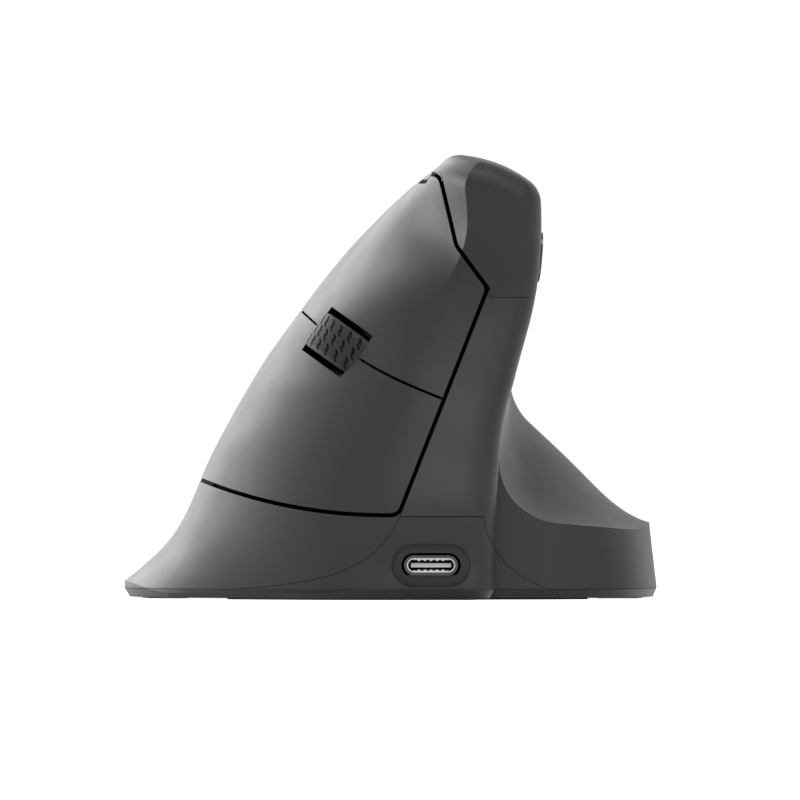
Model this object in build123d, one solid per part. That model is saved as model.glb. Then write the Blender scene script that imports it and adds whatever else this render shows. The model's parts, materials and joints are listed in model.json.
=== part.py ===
from build123d import *
import math
import os
from typing import NamedTuple

# A right-handed vertical mouse. -Y is the front with the charging port, +X the thumb side,
# -X the finger side and +Z up. The origin is the middle of the footprint on the desk.

# Overall size and the moulded walls
BODY_WIDTH = 90.0
BODY_LENGTH = 112.0
BODY_HEIGHT = 74.3
WALL = 2.0
FLOOR = 1.9
GLIDE_PROUD = 0.25
RIM_HEIGHT = 1.45
BASE_CHAMFER = 0.9
SEAM = 0.2
PARTING = 0.08
OVERRUN = 30.0

# Shape of the hull
WAIST_BLEND = 10.0
WING_DRAFT = 8.0
CREST_ROUND = 4.0

# Click panels for the fingers
PANEL_GAP = 0.7
SPLIT_GAP = 0.5
PANEL_CORNER = 2.2
PANEL_SHOULDER = 3.0
EDGE_STEP = 1.2
HINGE_BACK = 33.0
HINGE_DEPTH = 5.0
PANEL_BACK = 36.0
HINGE_PIN_RADIUS = 1.0
HINGE_PIN_LENGTH = 18.0
KNUCKLE_RADIUS = 2.2
KNUCKLE_WIDTH = 5.0
LUG_WIDTH = 2.4
RUNNING_FIT = 0.06
KNUCKLE_GAP = 0.3

# Scroll wheel, lying with its axle along the slope of the finger side
WHEEL_ACROSS = -9.7
WHEEL_UP = 43.3
AXLE_SLOPE = 54.4
WHEEL_HEADING = 21.0
SEAT_HEADING = 36.0
WHEEL_RADIUS = 9.5
WHEEL_WIDTH = 6.6
WHEEL_PROUD = 2.5
TYRE = 2.0
TYRE_SHOULDER = 0.9
HUB_RIM = 1.5
HUB_WEB = 1.8
HUB_BOSS_RADIUS = 2.8
HUB_HOLE_RADIUS = 1.5
HUB_HOLES = 6
AXLE_RADIUS = 1.2
SLOT_SIDE_GAP = 1.1
SLOT_END_GAP = 0.7
FORK_GAP = 0.5
FORK_ARM = 1.8
FORK_LENGTH = 9.0
FORK_TOP = 2.4
FORK_FOOT = 1.8
WHEEL_PRESS = 0.4

# Switch board behind the click panels, and the switches on it
BOARD = 1.6
THIN_BOARD = 1.2
SWITCH_BOARD_DEPTH = 10.0
SWITCH_BOARD_AHEAD = 17.0
SWITCH_BOARD_BEHIND = 24.0
SWITCH_BOARD_DOWN = 23.0
SWITCH_BOARD_UP = 20.0
SWITCH_BOARD_MARGIN = 1.2
SWITCH_BOARD_SLOT = 7.8
SWITCH_LENGTH = 12.8
SWITCH_WIDTH = 5.8
SWITCH_HEIGHT = 6.5
PLUNGER_LENGTH = 2.6
PLUNGER_WIDTH = 1.6
PLUNGER_PROUD = 0.9
PLUNGER_WELL = 1.0
PLUNGER_FIT = 0.1
SWITCH_AHEAD = 4.0
SWITCH_ASIDE = 14.5
PRESSER_RADIUS = 1.6
TACT_WIDTH = 6.0
TACT_HEIGHT = 3.5
TACT_STEM_RADIUS = 1.4
TACT_STEM_PROUD = 0.9
TACT_WELL = 0.8
CONTACT_GAP = 0.1
ENCODER_WIDTH = 9.6
ENCODER_THICKNESS = 4.0
ENCODER_HEIGHT = 7.4
SHELF = 1.2
CLICK_X = -8.0
CLICK_Y = 10.0
CLICK_TAB = 1.5
RAIL = 1.5

# Inner frame that carries the switch board and the panel hinges
FRAME_PLATE = 2.0
FRAME_DEPTH = 16.6
FRAME_AHEAD = 17.0
FRAME_BEHIND = 37.0
FRAME_DOWN = 30.0
FRAME_UP = 20.0
FRAME_LEGS = [(13.5, -32.0), (13.0, -6.0), (-15.5, 4.0)]
FRAME_FLOOR = 13.0
FRAME_LEG_RADIUS = 2.5
BOARD_POST_RADIUS = 2.4

# Buttons on the thumb side
SIDE_BUTTON_LENGTH = 17.0
SIDE_BUTTON_HEIGHT = 8.4
SIDE_BUTTON_UP = 57.2
SIDE_BUTTON_CORNER = 3.2
SIDE_BUTTON_PROUD = 0.7
SIDE_BUTTON_GAP = 0.25
SIDE_BUTTON_SPACE = 1.6
SIDE_BUTTON_TRAVEL = 0.5
SIDE_BUTTONS_Y = -12.5
SIDE_FLANGE = 0.8
SIDE_LIP = 0.6
SIDE_BOARD_X = 14.5
SIDE_BOARD_HEIGHT = 9.0
SIDE_POST_RADIUS = 1.8
SIDE_POST_PAST = 3.0

# Charging port
PORT_X = 6.6
PORT_UP = 5.8
PORT_SHELL_WIDTH = 8.94
PORT_SHELL_HEIGHT = 3.26
PORT_SHELL_DEPTH = 7.35
PORT_SHEET = 0.3
PORT_CASE_WIDTH = 9.9
PORT_CASE_HEIGHT = 4.1
PORT_RECESS_WIDTH = 13.2
PORT_RECESS_HEIGHT = 7.3
PORT_RECESS_DEPTH = 0.9
PORT_SETBACK = 0.35
TONGUE_WIDTH = 6.69
TONGUE_THICKNESS = 0.7
TONGUE_SETBACK = 0.9
PORT_BACKING = 1.6
PORT_PAD = 2.4
PORT_BOARD_WIDTH = 15.0
PORT_BOARD_LENGTH = 13.0

# Parts on the floor of the case
MAIN_BOARD_WIDTH = 22.0
MAIN_BOARD_LENGTH = 46.0
MAIN_BOARD_X = -1.0
MAIN_BOARD_Y = -14.0
MAIN_BOARD_UP = 7.8
MAIN_POST_RADIUS = 2.0
MAIN_POST_INSET = 2.5
LIGHT_HOLE_RADIUS = 2.0
SENSOR_Y = -10.0
SENSOR_SIDE = 10.0
SENSOR_HEIGHT = 1.5
LENS_LENGTH = 19.0
LENS_WIDTH = 17.0
LENS_FLANGE = 1.2
LENS_BARREL_RADIUS = 4.0
WINDOW_LENGTH = 8.0
WINDOW_WIDTH = 6.0
MODULE_LENGTH = 12.0
MODULE_WIDTH = 9.0
MODULE_HEIGHT = 1.9
BATTERY_LENGTH = 30.0
BATTERY_WIDTH = 26.0
BATTERY_THICKNESS = 5.5
BATTERY_X = -8.0
BATTERY_Y = 24.5
BATTERY_ROUND = 1.8
STICKY_GAP = 0.1

# Glides and screws under the case
GLIDE = 0.8
GLIDE_INSET = 3.0
GLIDE_WIDTH = 6.8
GLIDE_FRONT_X = (-27.4, 32.8)
GLIDE_REAR_X = (-16.0, 22.0)
GLIDE_SIDE_Y = (-16.0, 14.0)
CASE_SCREW_RADIUS = 1.0
CASE_SCREW_LENGTH = 8.0
CASE_SCREWS_PALM = [(-30.0, 14.0), (-8.0, 43.0)]
CASE_SCREWS_THUMB = [(32.0, -14.0), (28.0, 28.0)]
CASE_SCREW_HEAD_RADIUS = 2.0
CASE_SCREW_HEAD = 1.3
BOSS_RADIUS = 3.0
BOARD_SCREW_RADIUS = 0.8
BOARD_SCREW_LENGTH = 4.0
BOARD_SCREW_HEAD_RADIUS = 1.6
BOARD_SCREW_HEAD = 1.0
SCREW_FIT = 0.02

# Slider and button on the underside
SLIDER_LENGTH = 6.0
SLIDER_WIDTH = 3.4
SLIDER_TRAVEL = 2.5
SLIDER_X = 5.0
SLIDER_Y = -26.6
SLIDER_FIT = 0.2
SLIDER_SUNK = 0.25
STEP = 0.8
STALK_RADIUS = 0.8
MODE_SWITCH_HEIGHT = 1.8
PAIR_RADIUS = 2.2
PAIR_X = -7.0
PAIR_Y = -27.0
PAIR_TRAVEL = 0.3


class Station(NamedTuple):
    """One level outline of the upright fin, in shares of the hull's height, width and length."""

    height_share: float
    nose_shares: tuple
    corner_shares: tuple
    finger_shares: tuple
    rear_shares: tuple
    thumb_shares: tuple
    cheek_shares: tuple
    turns: tuple


# The corner is where the front face turns to the finger side. Its two turns, in degrees, are equal
# where that corner is soft and differ in the hood, where it is a crease.
STATIONS = [
    Station(0.000, (0.122, -0.492), (-0.156, -0.478), (-0.539, -0.036), (0.000, 0.527),
            (0.300, 0.107), (0.191, -0.438), (32, 32, 0)),
    Station(0.067, (0.122, -0.493), (-0.128, -0.475), (-0.471, -0.045), (0.000, 0.516),
            (0.289, 0.107), (0.192, -0.438), (30, 30, 0)),
    Station(0.135, (0.122, -0.491), (-0.094, -0.473), (-0.414, -0.054), (0.000, 0.504),
            (0.278, 0.107), (0.193, -0.433), (27, 27, 0)),
    Station(0.183, (0.122, -0.490), (-0.067, -0.470), (-0.388, -0.054), (0.011, 0.493),
            (0.267, 0.107), (0.194, -0.429), (24, 24, 0)),
    Station(0.242, (0.124, -0.479), (-0.042, -0.461), (-0.366, -0.045), (0.022, 0.479),
            (0.256, 0.098), (0.196, -0.420), (22, 22, 0)),
    Station(0.323, (0.131, -0.457), (-0.018, -0.443), (-0.337, -0.036), (0.033, 0.455),
            (0.239, 0.089), (0.200, -0.404), (21, 21, 0)),
    Station(0.404, (0.142, -0.436), (0.002, -0.423), (-0.302, -0.018), (0.044, 0.425),
            (0.224, 0.080), (0.209, -0.384), (22, 22, 0)),
    Station(0.485, (0.158, -0.414), (0.020, -0.404), (-0.264, 0.000), (0.061, 0.388),
            (0.222, 0.062), (0.226, -0.366), (24, 24, 0)),
    Station(0.592, (0.184, -0.389), (0.049, -0.380), (-0.206, 0.018), (0.089, 0.327),
            (0.236, 0.045), (0.250, -0.339), (26, 26, -2)),
    Station(0.700, (0.209, -0.371), (0.096, -0.366), (-0.140, 0.018), (0.117, 0.250),
            (0.251, 0.018), (0.270, -0.325), (28, 30, -3)),
    Station(0.808, (0.224, -0.374), (0.137, -0.372), (-0.066, 0.000), (0.144, 0.155),
            (0.262, -0.027), (0.278, -0.329), (3, 52, -2)),
    Station(0.902, (0.229, -0.384), (0.138, -0.382), (0.012, -0.036), (0.172, 0.048),
            (0.264, -0.071), (0.277, -0.339), (3, 58, 0)),
    Station(0.956, (0.229, -0.387), (0.134, -0.385), (0.066, -0.071), (0.189, -0.040),
            (0.262, -0.116), (0.273, -0.343), (3, 60, 0)),
    Station(0.996, (0.229, -0.388), (0.131, -0.387), (0.122, -0.125), (0.202, -0.125),
            (0.264, -0.179), (0.273, -0.345), (3, 60, 0)),
    Station(1.030, (0.229, -0.389), (0.131, -0.388), (0.167, -0.214), (0.211, -0.196),
            (0.264, -0.232), (0.273, -0.345), (3, 80, 0)),
]
# Levels between which the waist and the crest lie
WAIST_LEVEL_SHARES = (0.160, 0.540)
CREST_LEVEL_SHARES = (0.890, 1.010)
# How far each span of an outline runs straight before it bends, as a share of its chord
SPAN_SHARES = [(0.34, 0.34), (0.34, 0.42), (0.38, 0.40), (0.34, 0.40), (0.34, 0.34), (0.40, 0.40)]
# The rim under the skirt, at the widest and longest places of the footprint
RIM = Station(0.000, (0.122, -0.515), (-0.185, -0.500), (-0.500, -0.036), (0.000, 0.500),
              (0.320, 0.107), (0.210, -0.470), (32, 32, 0))
RIM_TOP_SHARE = 0.16

# Footprint of the thumb wing, from inside the front of the fin round to inside its rear
WING_SHARES = [(0.089, -0.424), (0.267, -0.409), (0.422, -0.335), (0.489, -0.161), (0.491, 0.125),
               (0.422, 0.335), (0.300, 0.430), (0.178, 0.473), (0.060, 0.470)]
WING_TOP_SHARE = 0.6

# Thumb rest: heights over five places across, at stations along the length
REST_ACROSS_SHARES = [0.556, 0.472, 0.356, 0.211, 0.067]
REST_SHARES = [
    (-0.536, (0.145, 0.153, 0.150, 0.163, 0.177)),
    (-0.304, (0.152, 0.160, 0.160, 0.182, 0.202)),
    (-0.107, (0.158, 0.166, 0.219, 0.327, 0.437)),
    (0.134, (0.158, 0.167, 0.284, 0.450, 0.620)),
    (0.321, (0.100, 0.110, 0.200, 0.315, 0.430)),
    (0.446, (0.034, 0.043, 0.085, 0.150, 0.215)),
    (0.554, (-0.040, -0.030, -0.020, 0.000, 0.030)),
]

# Roof: height across the top, and how far it drops at stations along the length
ROOF_ACROSS_SHARES = [-0.222, 0.000, 0.133, 0.209, 0.262, 0.378]
ROOF_HEIGHT_SHARES = [0.935, 0.988, 1.000, 0.976, 0.938, 0.800]
ROOF_DROP_SHARES = [(-0.554, 0.035), (-0.384, 0.010), (-0.260, 0.000), (-0.120, 0.014), (0.000, 0.060),
                    (0.268, 0.220), (0.580, 0.500)]


def place(shares, height, inward=Vector(0, 0)):
    return Vector(shares[0] * BODY_WIDTH, shares[1] * BODY_LENGTH, height) + inward


def heading(turn):
    """Plan direction that starts along -X and turns towards the rear."""
    angle = math.radians(turn)
    return Vector(-math.cos(angle), math.sin(angle))


def span(start, start_way, end, end_way, shares):
    chord = (end - start).length
    return Edge.make_bezier(
        start, start + start_way * chord * shares[0], end - end_way * chord * shares[1], end)


def outline(station, inset, height):
    """Closed level outline through the station's six places, moved inwards by the inset."""
    front_turn, side_turn, cheek_turn = station.turns
    half = math.radians(side_turn - front_turn) / 2
    middle = math.radians(side_turn + front_turn) / 2
    mitre = Vector(math.sin(middle), math.cos(middle)) * (inset / math.cos(half))
    back, across = Vector(0, inset), Vector(inset, 0)
    cheek_angle = math.radians(cheek_turn)
    nose = place(station.nose_shares, height, back)
    corner = place(station.corner_shares, height, mitre)
    finger = place(station.finger_shares, height, across)
    rear = place(station.rear_shares, height, -back)
    thumb = place(station.thumb_shares, height, -across)
    cheek = place(station.cheek_shares, height, -across)
    stops = [
        (nose, heading(0), corner, heading(front_turn)),
        (corner, heading(side_turn), finger, Vector(0, 1)),
        (finger, Vector(0, 1), rear, Vector(1, 0)),
        (rear, Vector(1, 0), thumb, Vector(0, -1)),
        (thumb, Vector(0, -1), cheek, Vector(-math.sin(cheek_angle), -math.cos(cheek_angle))),
        (cheek, Vector(-math.sin(cheek_angle), -math.cos(cheek_angle)), nose, heading(0)),
    ]
    return Wire([span(*stop, shares) for stop, shares in zip(stops, SPAN_SHARES)])


def fin(inset):
    """Upright body under the fingers and palm, without its roof."""
    wires = [outline(s, inset, s.height_share * BODY_HEIGHT) for s in STATIONS]
    return Solid.make_loft(wires, False)


def rim_trim(inset):
    """What the vertical rim of the footprint cuts off the flared skirt."""
    high = RIM_TOP_SHARE * BODY_HEIGHT
    keep = Solid.extrude(Face(outline(RIM, inset, -high)), Vector(0, 0, 2 * high))
    return slab(BODY_WIDTH + OVERRUN, BODY_LENGTH + OVERRUN, -high / 2, high) - keep


def slab(width, length, low, high):
    return Pos(0, 0, (low + high) / 2) * Box(width, length, high - low)


def closed_profile(curve, floor, plane_y):
    """Face in an XZ plane between a curve and a level floor under it."""
    start, end = curve.position_at(0), curve.position_at(1)
    legs = Polyline(
        (end.X, plane_y, end.Z), (end.X, plane_y, floor), (start.X, plane_y, floor),
        (start.X, plane_y, start.Z))
    return Wire([curve] + legs.edges())


def wing_outline(height, inset):
    lean = math.tan(math.radians(WING_DRAFT)) * height + inset
    points = []
    for x_share, y_share in WING_SHARES:
        side = lean if x_share > WING_SHARES[1][0] else 0
        ahead = lean if y_share < WING_SHARES[3][1] else 0
        behind = lean if y_share > WING_SHARES[4][1] else 0
        points.append(place((x_share, y_share), height, Vector(-side, ahead - behind)))
    curve = Edge.make_spline(points, tangents=[Vector(1, 0), Vector(-1, -0.2)])
    return Wire([curve, Edge.make_line(points[-1], points[0])])


def under_rest(inset):
    """Everything below the surface that the thumb rests on."""
    profiles = []
    for y_share, height_shares in REST_SHARES:
        y = y_share * BODY_LENGTH
        points = []
        for x_share, height_share in zip(REST_ACROSS_SHARES, height_shares):
            points.append(Vector(x_share * BODY_WIDTH, y, height_share * BODY_HEIGHT - inset))
        profiles.append(closed_profile(Edge.make_spline(points), -OVERRUN, y))
    return Solid.make_loft(profiles, False)


def under_roof(inset):
    profiles = []
    for y_share, drop_share in ROOF_DROP_SHARES:
        y = y_share * BODY_LENGTH
        points = []
        for x_share, height_share in zip(ROOF_ACROSS_SHARES, ROOF_HEIGHT_SHARES):
            height = (height_share - drop_share) * BODY_HEIGHT - inset
            points.append(Vector(x_share * BODY_WIDTH, y, height))
        curve = Edge.make_spline(points)
        low, high = points[0], points[-1]
        out = Vector(BODY_WIDTH, 0)
        legs = Polyline(
            high, high + out, high + out - Vector(0, 0, BODY_HEIGHT),
            low - out - Vector(0, 0, BODY_HEIGHT), low - out, low)
        profiles.append(Wire([curve] + legs.edges()))
    return Solid.make_loft(profiles, False)


def long_edges(shape, low, high, across, least):
    """Edges of a shape between two levels and two places across that are at least so long."""
    found = []
    for edge in shape.edges():
        box = edge.bounding_box()
        within = low < box.min.Z and box.max.Z < high and across[0] < box.min.X
        if within and box.max.X < across[1] and edge.length > least:
            found.append(edge)
    return found


def hull_body(inset):
    """Fin and thumb wing together, with every face moved inwards by the inset."""
    high = WING_TOP_SHARE * BODY_HEIGHT
    wing = Solid.make_loft([wing_outline(0, inset), wing_outline(high, inset)], True)
    upright = fin(inset) & under_roof(inset)
    return upright - rim_trim(inset) + (wing & under_rest(inset))


def footprint(low_inset, high_inset, low, high):
    """Block between two levels on the outline that the hull has at the desk."""
    ends = [(low_inset, low), (high_inset, high)]
    upright = Solid.make_loft([outline(STATIONS[0], inset, level) for inset, level in ends], True)
    rim = Solid.make_loft([outline(RIM, inset, level) for inset, level in ends], True)
    wing = Solid.make_loft([wing_outline(level, inset) for inset, level in ends], True)
    return (upright & rim) + wing


def outer_body():
    """The hull with the blend at its waist and the rounded crest."""
    body = hull_body(0)
    low, high = (share * BODY_HEIGHT for share in WAIST_LEVEL_SHARES)
    waist = long_edges(body, low, high, (0, BODY_WIDTH / 3), BODY_LENGTH / 6)
    body = body.fillet(WAIST_BLEND, waist)
    low, high = (share * BODY_HEIGHT for share in CREST_LEVEL_SHARES)
    crest = long_edges(body, low, high, (-BODY_WIDTH / 2, BODY_WIDTH / 2), 0)
    return body.fillet(CREST_ROUND, crest)


# Lines where the casings part, seen from the front, in shares of the hull's width and height
SHOULDER_TOP_SHARES = (0.092, 0.962)
SHOULDER_SHARES = (0.124, 0.797)
ELBOW_SHARES = (0.183, 0.700)
FOOT_SHARES = (0.016, 0.186)
HEM_SHARES = [(-0.178, 0.203), (-0.444, 0.310)]
SPLIT_SHARES = [(-0.300, 0.790), (-0.170, 0.652), (-0.058, 0.540), (0.086, 0.455), (0.230, 0.385)]
ARCH_LEFT_SHARES = [(-0.330, 0.018), (-0.138, 0.047), (-0.045, 0.094), (0.015, 0.186)]
ARCH_RIGHT_SHARES = [(0.170, 0.186), (0.192, 0.112), (0.244, 0.050), (0.320, 0.018)]
ARCH_BACK_SHARE = -0.335
CAP_UP_SHARE = 0.679
CAP_BACK_SHARE = 0.120
EDGE_STEP_SHARE = -0.235
SPINE_LEAN_SHARES = [(0.016, 0.000), (0.016, 0.186), (0.183, 0.700), (0.183, 1.100)]


def seen(shares):
    """Place in the front view, X across and Z up, on the plane in front of the hull."""
    return Vector(shares[0] * BODY_WIDTH, 0, shares[1] * BODY_HEIGHT)


FRONT_VIEW = Plane(origin=(0, 0, 0), x_dir=(1, 0, 0), z_dir=(0, -1, 0))


def pushed(face, near, far):
    """The front-view face pushed from one place along the length to another."""
    return Pos(0, near, 0) * Solid.extrude(face, Vector(0, far - near, 0))


def spread(face, amount):
    """Front-view face grown, or shrunk, by an amount all round."""
    flat = FRONT_VIEW.to_local_coords(face)
    return FRONT_VIEW.from_local_coords(offset(flat, amount=amount)).face()


def panel_face():
    """Opening for both click panels, with its rounded shoulder, elbow and foot."""
    high, out = seen(SHOULDER_TOP_SHARES), Vector(BODY_WIDTH, 0, 0)
    hem = Edge.make_three_point_arc(seen(FOOT_SHARES), seen(HEM_SHARES[0]), seen(HEM_SHARES[1]))
    left = hem.position_at(1)
    lines = Polyline(
        left, left - out, high - out - out, high, seen(SHOULDER_SHARES), seen(ELBOW_SHARES),
        seen(FOOT_SHARES))
    face = Face(Wire([hem] + lines.edges()))
    corners = [seen(s) for s in (SHOULDER_TOP_SHARES, ELBOW_SHARES, FOOT_SHARES)]
    near = [v for v in face.vertices() if min((v.center() - c).length for c in corners) < SEAM]
    face = face.fillet_2d(PANEL_CORNER, near)
    shoulder = [v for v in face.vertices() if (v.center() - seen(SHOULDER_SHARES)).length < SEAM]
    return face.fillet_2d(PANEL_SHOULDER, shoulder)


def ribbon(points, width):
    """Thin front-view face along a line through points, half its width either side."""
    half = Vector(0, 0, width / 2)
    upper = Edge.make_spline([p + half for p in points])
    lower = Edge.make_spline([p - half for p in points])
    ends = [
        Edge.make_line(upper.position_at(1), lower.position_at(1)),
        Edge.make_line(upper.position_at(0), lower.position_at(0)),
    ]
    return Face(Wire([upper, lower] + ends))


def beside(points, gap):
    """Points of a front-view line, each moved square to the line, to the left of its run."""
    moved = []
    for index, point in enumerate(points):
        before, after = points[max(index - 1, 0)], points[min(index + 1, len(points) - 1)]
        run = (after - before).normalized()
        moved.append(point + Vector(-run.Z, 0, run.X) * gap)
    return moved


def arch_face(gap):
    """Low arch at the front that belongs to the bottom case and holds the port."""
    left = beside([seen(s) for s in ARCH_LEFT_SHARES], gap)
    right = beside([seen(s) for s in ARCH_RIGHT_SHARES], gap)
    top = Vector(0, 0, left[-1].Z + gap)
    base = Vector(0, 0, GLIDE_PROUD)
    across = [Vector(point.X, 0, 0) for point in (left[-1], right[0], right[-1], left[0])]
    roof = [left[-1], across[0] + top, across[1] + top, right[0]]
    foot = [right[-1], across[2] + base, across[3] + base, left[0]]
    lines = [Edge.make_line(a, b) for a, b in zip(roof, roof[1:]) if (b - a).length > 0]
    lines = lines + [Edge.make_line(a, b) for a, b in zip(foot, foot[1:])]
    return Face(Wire([Edge.make_spline(left), Edge.make_spline(right)] + lines))


def cap_face():
    """Top cap: the hood right of the click panels, and the crest above them."""
    low = seen((0, CAP_UP_SHARE)).Z
    corner = seen(ELBOW_SHARES)
    out = Vector(BODY_WIDTH, 0, 0)
    top = Vector(0, 0, BODY_HEIGHT)
    start = Vector(seen(ELBOW_SHARES).X, 0, low)
    points = [
        start, corner, seen(SHOULDER_SHARES), seen(SHOULDER_TOP_SHARES),
        seen(SHOULDER_TOP_SHARES) - out, seen(SHOULDER_TOP_SHARES) - out + top,
        start + out + top, start + out,
    ]
    return Face(Wire(Polyline(*points, close=True).edges()))


def spine_face():
    """Thumb shell: all that lies right of the click panels' right edge."""
    points = [seen(s) for s in SPINE_LEAN_SHARES]
    out = Vector(BODY_WIDTH, 0, 0)
    return Face(Wire(Polyline(*points, points[-1] + out, points[0] + out, close=True).edges()))


# Levels of the floor and of the seam above it
CASE_BOTTOM = GLIDE_PROUD
SEAM_LEVEL = CASE_BOTTOM + RIM_HEIGHT
FLOOR_TOP = CASE_BOTTOM + FLOOR

body = outer_body()
cavity = hull_body(WALL)
front, back = -BODY_LENGTH, BODY_LENGTH

# The wheel's seat on the finger side, and the frame in which its neighbours are laid out:
# x ahead along the finger, y up along the axle, z out of the finger side
axle_angle = math.radians(AXLE_SLOPE)
axle_way = Vector(math.cos(axle_angle), 0, math.sin(axle_angle))


def ahead(turn):
    """Direction square to the axle that heads forward, turned in plan towards the thumb side."""
    angle = math.radians(turn)
    level_way = Vector(math.sin(angle), -math.cos(angle), 0)
    return (level_way - axle_way * level_way.dot(axle_way)).normalized()


ahead_way = ahead(WHEEL_HEADING)
outward_way = ahead_way.cross(axle_way)
sight = Axis((WHEEL_ACROSS, front, WHEEL_UP), (0, 1, 0))
seat = Vector(*body.find_intersection_points(sight)[0][0])
wheel_centre = seat + ahead(SEAT_HEADING).cross(axle_way) * (WHEEL_PROUD - WHEEL_RADIUS)
FINGER = Plane(origin=wheel_centre, x_dir=ahead_way, z_dir=outward_way)


def at_wheel(shape):
    return FINGER.location * shape


def block(x, y, z):
    """Box between pairs of limits."""
    middle = Pos(sum(x) / 2, sum(y) / 2, sum(z) / 2)
    return middle * Box(x[1] - x[0], y[1] - y[0], z[1] - z[0])


def rod(radius, x, y, z):
    """Upright cylinder at x, y between two levels."""
    return Pos(x, y, (z[0] + z[1]) / 2) * Cylinder(radius, z[1] - z[0])


def axle_rod(radius, y, x=0.0, z=0.0):
    """Cylinder along the axle direction, between two places y, in the wheel's frame."""
    return Pos(x, (y[0] + y[1]) / 2, z) * Rot(90, 0, 0) * Cylinder(radius, y[1] - y[0])


def biggest(shape):
    """The main solid of a cut, without the crumbs that lie between parting lines."""
    return max(shape.solids(), key=lambda solid: solid.volume)


def edge_step(amount, gap):
    """Rear part of the opening's upper edge, stepped in so that no straight gap runs over the crest."""
    face = opening_face - spread(opening_face, -amount)
    strip = pushed(face.face(), EDGE_STEP_SHARE * BODY_LENGTH - gap, BODY_LENGTH / 4)
    return strip & slab(2 * BODY_WIDTH, 2 * BODY_LENGTH, seen(SHOULDER_SHARES).Z - gap, 2 * BODY_HEIGHT)


# Casings
skin = (body & slab(2 * BODY_WIDTH, 2 * BODY_LENGTH, SEAM_LEVEL, 2 * BODY_HEIGHT)) - cavity
shell = skin & slab(2 * BODY_WIDTH, 2 * BODY_LENGTH, SEAM_LEVEL + PARTING, 2 * BODY_HEIGHT)
behind_panels = at_wheel(block((-PANEL_BACK, BODY_LENGTH), (-BODY_HEIGHT, BODY_HEIGHT),
                               (-BODY_WIDTH, BODY_WIDTH)))
behind_buttons = at_wheel(block((PANEL_GAP - PANEL_BACK, BODY_LENGTH), (-BODY_HEIGHT, BODY_HEIGHT),
                                (-BODY_WIDTH, BODY_WIDTH)))
opening_face = panel_face()
opening = pushed(opening_face, front, BODY_LENGTH / 4) & behind_panels
opening = opening - edge_step(EDGE_STEP, 0)
arch = arch_face(0)
arch_back = ARCH_BACK_SHARE * BODY_LENGTH
arch_wide = pushed(arch_face(PARTING), front, arch_back + PARTING)
cap = pushed(cap_face(), front, CAP_BACK_SHARE * BODY_LENGTH)
cap_wide = pushed(spread(cap_face(), PARTING), front, CAP_BACK_SHARE * BODY_LENGTH + PARTING)
spine = pushed(spine_face(), front, back)
spine_wide = pushed(spread(spine_face(), PARTING), front, back)

top_cap = biggest((shell & cap) - opening)
thumb_shell = biggest((shell & spine) - cap_wide - opening - arch_wide)
palm_shell = biggest(shell - spine_wide - cap_wide - opening - arch_wide)
floor_plate = body & footprint(BASE_CHAMFER, 0, CASE_BOTTOM, SEAM_LEVEL)
inner_room = hull_body(WALL + SEAM)
inner_floor = inner_room & cavity & slab(2 * BODY_WIDTH, 2 * BODY_LENGTH, SEAM_LEVEL, FLOOR_TOP)
bottom_case = floor_plate + inner_floor + (skin & pushed(arch, front, arch_back))
panels = shell & pushed(spread(opening_face, -PANEL_GAP), front, BODY_LENGTH / 4)
panels = (panels & behind_buttons) - edge_step(EDGE_STEP + PANEL_GAP, PANEL_GAP)


# Click panels: split by one line, slotted for the wheel and hinged at their rear edge
wheel_slot = at_wheel(axle_rod(
    WHEEL_RADIUS + SLOT_END_GAP, (-WHEEL_WIDTH / 2 - SLOT_SIDE_GAP, WHEEL_WIDTH / 2 + SLOT_SIDE_GAP)))
split = pushed(ribbon([seen(s) for s in SPLIT_SHARES], SPLIT_GAP), front, back)
halves = sorted((panels - split - wheel_slot).solids(), key=lambda solid: solid.volume)[-2:]
lower_half, upper_half = sorted(halves, key=lambda solid: solid.center().Z)

# Levels out from the wheel's centre: board, switches and their plungers
BOARD_TOP = -SWITCH_BOARD_DEPTH
BOARD_UNDER = BOARD_TOP - BOARD
SWITCH_TOP = BOARD_TOP + SWITCH_HEIGHT
PLUNGER_TOP = SWITCH_TOP + PLUNGER_PROUD
HINGE_ASIDE = KNUCKLE_WIDTH / 2 + LUG_WIDTH + 2 * KNUCKLE_GAP
inside_panel = hull_body(WALL / 2)


def click_panel(half, aside):
    """One click panel with its two hinge knuckles and the presser for its switch."""
    panel = half
    for side in (-1, 1):
        middle = aside + side * HINGE_ASIDE / 2
        ends = (middle - KNUCKLE_WIDTH / 4, middle + KNUCKLE_WIDTH / 4)
        knuckle = axle_rod(KNUCKLE_RADIUS, ends, -HINGE_BACK, -HINGE_DEPTH)
        web = block((-HINGE_BACK - KNUCKLE_RADIUS, -HINGE_BACK + KNUCKLE_RADIUS), ends,
                    (-HINGE_DEPTH, WHEEL_RADIUS))
        panel = panel + at_wheel(knuckle) + (at_wheel(web) & inside_panel)
    presser = rod(PRESSER_RADIUS, SWITCH_AHEAD, aside,
                  (PLUNGER_TOP + CONTACT_GAP, WHEEL_RADIUS + WHEEL_PROUD))
    panel = panel + (at_wheel(presser) & inside_panel)
    bore = axle_rod(HINGE_PIN_RADIUS + RUNNING_FIT, (-HINGE_PIN_LENGTH, HINGE_PIN_LENGTH),
                    -HINGE_BACK, -HINGE_DEPTH)
    return panel - at_wheel(Pos(0, aside, 0) * bore)


primary_button = click_panel(upper_half, SWITCH_ASIDE)
secondary_button = click_panel(lower_half, -SWITCH_ASIDE)


# Scroll wheel: tyre, hub and axle turn together in the carrier's fork
HUB_RADIUS = WHEEL_RADIUS - TYRE
wheel_side = WHEEL_WIDTH / 2
arm_in = wheel_side + FORK_GAP
arm_out = arm_in + FORK_ARM
encoder_in = arm_out + SEAM
encoder_out = encoder_in + ENCODER_THICKNESS


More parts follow.
